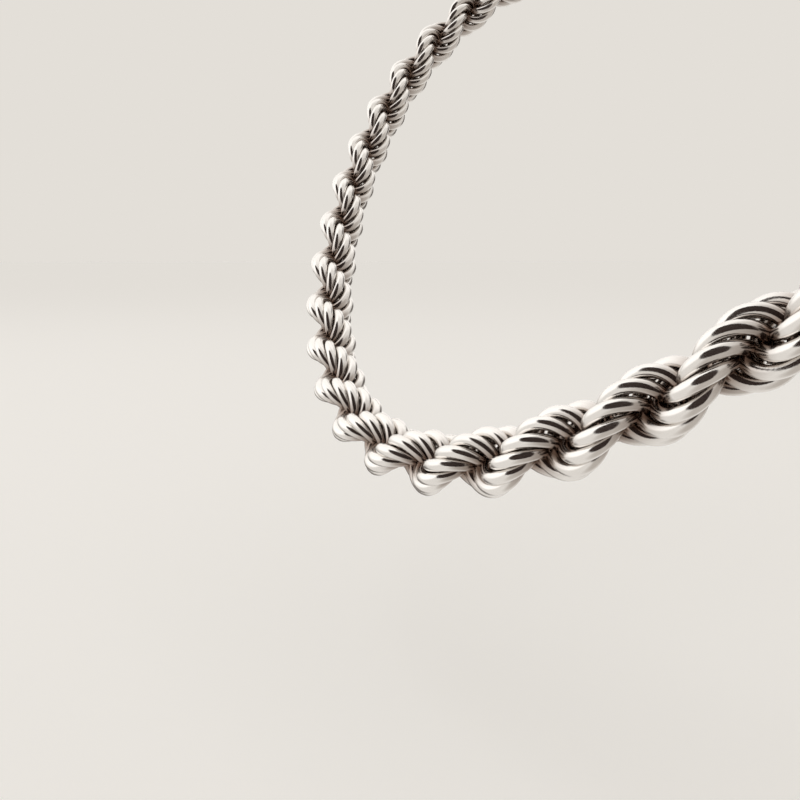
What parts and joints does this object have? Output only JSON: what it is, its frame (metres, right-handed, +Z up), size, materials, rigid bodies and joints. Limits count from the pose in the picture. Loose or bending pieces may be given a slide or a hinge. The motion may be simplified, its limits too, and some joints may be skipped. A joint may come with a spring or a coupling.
{
  "type": "chain necklace",
  "caption": "Polished silver rope-chain necklace, draped as worn and fastened with a lobster clasp.",
  "frame": {"origin": "the flat of the clasp's cheeks that lies against the nape of the neck", "axes": "+Z up, -Y the wearer's front, X along the shoulders"},
  "size_m": [0.1637, 0.1022, 0.1033],
  "materials": {
    "rope_silver": "mirror-polished silver",
    "finding_silver": "polished silver",
    "spring_steel": "drawn spring wire"
  },
  "bodies": {
    "clasp": {"clasp_body": "finding_silver", "clasp_pin": "finding_silver", "clasp_spring": "spring_steel"},
    "clasp_lever": {"clasp_lever": "finding_silver"},
    "jump_ring_left": {"jump_ring_left": "finding_silver"},
    "rope_01": {"end_cap_left": "finding_silver", "rope_section_01": "rope_silver"},
    "rope_02": {"rope_section_02": "rope_silver"},
    "rope_03": {"rope_section_03": "rope_silver"},
    "rope_04": {"rope_section_04": "rope_silver"},
    "rope_05": {"rope_section_05": "rope_silver"},
    "rope_06": {"rope_section_06": "rope_silver"},
    "rope_07": {"rope_section_07": "rope_silver"},
    "rope_08": {"rope_section_08": "rope_silver"},
    "rope_09": {"rope_section_09": "rope_silver"},
    "rope_10": {"rope_section_10": "rope_silver"},
    "rope_11": {"rope_section_11": "rope_silver"},
    "rope_12": {"rope_section_12": "rope_silver"},
    "rope_13": {"rope_section_13": "rope_silver"},
    "rope_14": {"rope_section_14": "rope_silver"},
    "rope_15": {"rope_section_15": "rope_silver"},
    "rope_16": {"rope_section_16": "rope_silver"},
    "rope_17": {"rope_section_17": "rope_silver"},
    "rope_18": {"rope_section_18": "rope_silver"},
    "rope_19": {"rope_section_19": "rope_silver"},
    "rope_20": {"rope_section_20": "rope_silver"},
    "rope_21": {"rope_section_21": "rope_silver"},
    "rope_22": {"rope_section_22": "rope_silver"},
    "rope_23": {"rope_section_23": "rope_silver"},
    "rope_24": {"rope_section_24": "rope_silver"},
    "rope_25": {"rope_section_25": "rope_silver"},
    "rope_26": {"rope_section_26": "rope_silver"},
    "rope_27": {"rope_section_27": "rope_silver"},
    "rope_28": {"rope_section_28": "rope_silver"},
    "rope_29": {"rope_section_29": "rope_silver"},
    "rope_30": {"rope_section_30": "rope_silver"},
    "rope_31": {"rope_section_31": "rope_silver"},
    "rope_32": {"rope_section_32": "rope_silver"},
    "rope_33": {"rope_section_33": "rope_silver"},
    "rope_34": {"rope_section_34": "rope_silver"},
    "rope_35": {"rope_section_35": "rope_silver"},
    "rope_36": {"rope_section_36": "rope_silver"},
    "rope_37": {"rope_section_37": "rope_silver"},
    "end_ring": {"end_ring": "finding_silver"},
    "jump_ring_right": {"jump_ring_right": "finding_silver"},
    "end_cap_right": {"end_cap_right": "finding_silver"}
  },
  "joints": [
    {"name": "clasp_lever_press", "type": "hinge", "parent": "clasp", "child": "clasp_lever", "pos_m": [-0.0001, 0.0017, 0.0029], "axis": [0, 1, 0], "range_deg": [0, 22], "stiffness_Nm_per_rad": 0.004, "springref_deg": -5.73},
    {"name": "jump_ring_left_swing", "type": "hinge", "parent": "clasp", "child": "jump_ring_left", "pos_m": [-0.0057, 0.0017, 0.0016], "axis": [0, 1, 0], "range_deg": [-20, 20]},
    {"name": "end_cap_left_swing", "type": "hinge", "parent": "jump_ring_left", "child": "rope_01", "pos_m": [-0.008, 0.0017, 0.0016], "axis": [0, 0, 1], "range_deg": [-20, 20]},
    {"name": "rope_02_bend", "type": "hinge", "parent": "rope_01", "child": "rope_02", "pos_m": [-0.0304, -0.00103, 0.00195], "axis": [-0.1502, 0.6781, -0.7195], "range_deg": [0, 30]},
    {"name": "rope_03_lift", "type": "hinge", "parent": "rope_02", "child": "rope_03", "pos_m": [-0.04143, -0.00397, 0.00187], "axis": [-0.251, 0.6881, 0.6808], "range_deg": [-20, 20]},
    {"name": "rope_04_bend", "type": "hinge", "parent": "rope_03", "child": "rope_04", "pos_m": [-0.05202, -0.00817, 0.0012], "axis": [-0.207, 0.6195, -0.7572], "range_deg": [0, 30]},
    {"name": "rope_05_lift", "type": "hinge", "parent": "rope_04", "child": "rope_05", "pos_m": [-0.06167, -0.01394, -0.00069], "axis": [0.6124, -0.562, -0.5561], "range_deg": [-20, 20]},
    {"name": "rope_06_bend", "type": "hinge", "parent": "rope_05", "child": "rope_06", "pos_m": [-0.06936, -0.02137, -0.00456], "axis": [-0.1054, 0.5895, -0.8009], "range_deg": [0, 30]},
    {"name": "rope_07_lift", "type": "hinge", "parent": "rope_06", "child": "rope_07", "pos_m": [-0.074, -0.02981, -0.0106], "axis": [-0.961, 0.1967, 0.1946], "range_deg": [-20, 20]},
    {"name": "rope_08_bend", "type": "hinge", "parent": "rope_07", "child": "rope_08", "pos_m": [-0.07554, -0.03822, -0.01813], "axis": [-0.0043, 0.6953, -0.7187], "range_deg": [0, 30]},
    {"name": "rope_09_lift", "type": "hinge", "parent": "rope_08", "child": "rope_09", "pos_m": [-0.07471, -0.04609, -0.02635], "axis": [0.9891, 0.1045, 0.1034], "range_deg": [-20, 20]},
    {"name": "rope_10_bend", "type": "hinge", "parent": "rope_09", "child": "rope_10", "pos_m": [-0.0722, -0.05334, -0.0348], "axis": [-0.0279, 0.766, -0.6423], "range_deg": [0, 30]},
    {"name": "rope_11_lift", "type": "hinge", "parent": "rope_10", "child": "rope_11", "pos_m": [-0.06841, -0.06003, -0.04325], "axis": [-0.9243, -0.2713, -0.2684], "range_deg": [-20, 20]},
    {"name": "rope_12_bend", "type": "hinge", "parent": "rope_11", "child": "rope_12", "pos_m": [-0.06357, -0.06618, -0.05156], "axis": [-0.0685, 0.7866, -0.6136], "range_deg": [0, 30]},
    {"name": "rope_13_lift", "type": "hinge", "parent": "rope_12", "child": "rope_13", "pos_m": [-0.05778, -0.07185, -0.05961], "axis": [0.8327, 0.3936, 0.3895], "range_deg": [-20, 20]},
    {"name": "rope_14_bend", "type": "hinge", "parent": "rope_13", "child": "rope_14", "pos_m": [-0.05109, -0.07703, -0.06728], "axis": [-0.1001, 0.7812, -0.6162], "range_deg": [0, 30]},
    {"name": "rope_15_lift", "type": "hinge", "parent": "rope_14", "child": "rope_15", "pos_m": [-0.04348, -0.08169, -0.07442], "axis": [-0.6976, -0.5093, -0.504], "range_deg": [-20, 20]},
    {"name": "rope_16_bend", "type": "hinge", "parent": "rope_15", "child": "rope_16", "pos_m": [-0.03494, -0.08575, -0.08082], "axis": [-0.1103, 0.7561, -0.6451], "range_deg": [0, 30]},
    {"name": "rope_17_lift", "type": "hinge", "parent": "rope_16", "child": "rope_17", "pos_m": [-0.02545, -0.08909, -0.0862], "axis": [0.4744, 0.6257, 0.6192], "range_deg": [-20, 20]},
    {"name": "rope_18_bend", "type": "hinge", "parent": "rope_17", "child": "rope_18", "pos_m": [-0.01505, -0.09153, -0.09021], "axis": [-0.0726, 0.7198, -0.6904], "range_deg": [0, 30]},
    {"name": "rope_19_lift", "type": "hinge", "parent": "rope_18", "child": "rope_19", "pos_m": [-0.00395, -0.09288, -0.09244], "axis": [-0.1201, -0.7057, -0.6983], "range_deg": [-20, 20]},
    {"name": "rope_20_bend", "type": "hinge", "parent": "rope_19", "child": "rope_20", "pos_m": [0.00746, -0.09299, -0.09261], "axis": [0.0216, 0.7065, -0.7074], "range_deg": [0, 30]},
    {"name": "rope_21_lift", "type": "hinge", "parent": "rope_20", "child": "rope_21", "pos_m": [0.01864, -0.09183, -0.09069], "axis": [-0.2846, 0.6814, 0.6743], "range_deg": [-20, 20]},
    {"name": "rope_22_bend", "type": "hinge", "parent": "rope_21", "child": "rope_22", "pos_m": [0.02917, -0.08954, -0.08693], "axis": [0.0964, 0.735, -0.6712], "range_deg": [0, 30]},
    {"name": "rope_23_lift", "type": "hinge", "parent": "rope_22", "child": "rope_23", "pos_m": [0.03881, -0.08633, -0.08174], "axis": [0.5829, -0.5776, -0.5715], "range_deg": [-20, 20]},
    {"name": "rope_24_bend", "type": "hinge", "parent": "rope_23", "child": "rope_24", "pos_m": [0.0475, -0.08237, -0.07548], "axis": [0.1099, 0.7689, -0.6299], "range_deg": [0, 30]},
    {"name": "rope_25_lift", "type": "hinge", "parent": "rope_24", "child": "rope_25", "pos_m": [0.05525, -0.0778, -0.06845], "axis": [-0.762, 0.4603, 0.4554], "range_deg": [-20, 20]},
    {"name": "rope_26_bend", "type": "hinge", "parent": "rope_25", "child": "rope_26", "pos_m": [0.06209, -0.0727, -0.06085], "axis": [0.0884, 0.786, -0.6118], "range_deg": [0, 30]},
    {"name": "rope_27_lift", "type": "hinge", "parent": "rope_26", "child": "rope_27", "pos_m": [0.06802, -0.06711, -0.05285], "axis": [0.8749, -0.3443, -0.3407], "range_deg": [-20, 20]},
    {"name": "rope_28_bend", "type": "hinge", "parent": "rope_27", "child": "rope_28", "pos_m": [0.07302, -0.06103, -0.04457], "axis": [0.0519, 0.7819, -0.6213], "range_deg": [0, 30]},
    {"name": "rope_29_lift", "type": "hinge", "parent": "rope_28", "child": "rope_29", "pos_m": [0.07698, -0.05443, -0.03614], "axis": [-0.9553, 0.2101, 0.2079], "range_deg": [-20, 20]},
    {"name": "rope_30_bend", "type": "hinge", "parent": "rope_29", "child": "rope_30", "pos_m": [0.07972, -0.04727, -0.02767], "axis": [0.0121, 0.7446, -0.6675], "range_deg": [0, 30]},
    {"name": "rope_31_lift", "type": "hinge", "parent": "rope_30", "child": "rope_31", "pos_m": [0.08085, -0.0395, -0.0194], "axis": [1, -0.0005, -0.0005], "range_deg": [-20, 20]},
    {"name": "rope_32_bend", "type": "hinge", "parent": "rope_31", "child": "rope_32", "pos_m": [0.07974, -0.03116, -0.01172], "axis": [0.0253, 0.6457, -0.7632], "range_deg": [0, 30]},
    {"name": "rope_33_lift", "type": "hinge", "parent": "rope_32", "child": "rope_33", "pos_m": [0.07561, -0.02266, -0.00537], "axis": [-0.8559, -0.3676, -0.3637], "range_deg": [-20, 20]},
    {"name": "rope_34_bend", "type": "hinge", "parent": "rope_33", "child": "rope_34", "pos_m": [0.06834, -0.01501, -0.00115], "axis": [0.1703, 0.5848, -0.7931], "range_deg": [0, 30]},
    {"name": "rope_35_lift", "type": "hinge", "parent": "rope_34", "child": "rope_35", "pos_m": [0.05892, -0.00896, 0.001], "axis": [0.4321, 0.641, 0.6343], "range_deg": [-20, 20]},
    {"name": "rope_36_bend", "type": "hinge", "parent": "rope_35", "child": "rope_36", "pos_m": [0.04844, -0.00454, 0.00182], "axis": [0.1945, 0.649, -0.7355], "range_deg": [0, 30]},
    {"name": "rope_37_lift", "type": "hinge", "parent": "rope_36", "child": "rope_37", "pos_m": [0.03745, -0.00142, 0.00196], "axis": [-0.1647, -0.7011, -0.6938], "range_deg": [-20, 20]},
    {"name": "end_ring_swing", "type": "hinge", "parent": "clasp", "child": "end_ring", "pos_m": [0.0079, 0.0017, 0.0016], "axis": [0, 0, 1], "range_deg": [-15, 15]},
    {"name": "jump_ring_right_swing", "type": "hinge", "parent": "end_ring", "child": "jump_ring_right", "pos_m": [0.01215, 0.0017, 0.0016], "axis": [0, 1, 0], "range_deg": [-15, 15]},
    {"name": "end_cap_right_swing", "type": "hinge", "parent": "jump_ring_right", "child": "end_cap_right", "pos_m": [0.0156, 0.0017, 0.0016], "axis": [0, 0, 1], "range_deg": [-15, 15]}
  ]
}
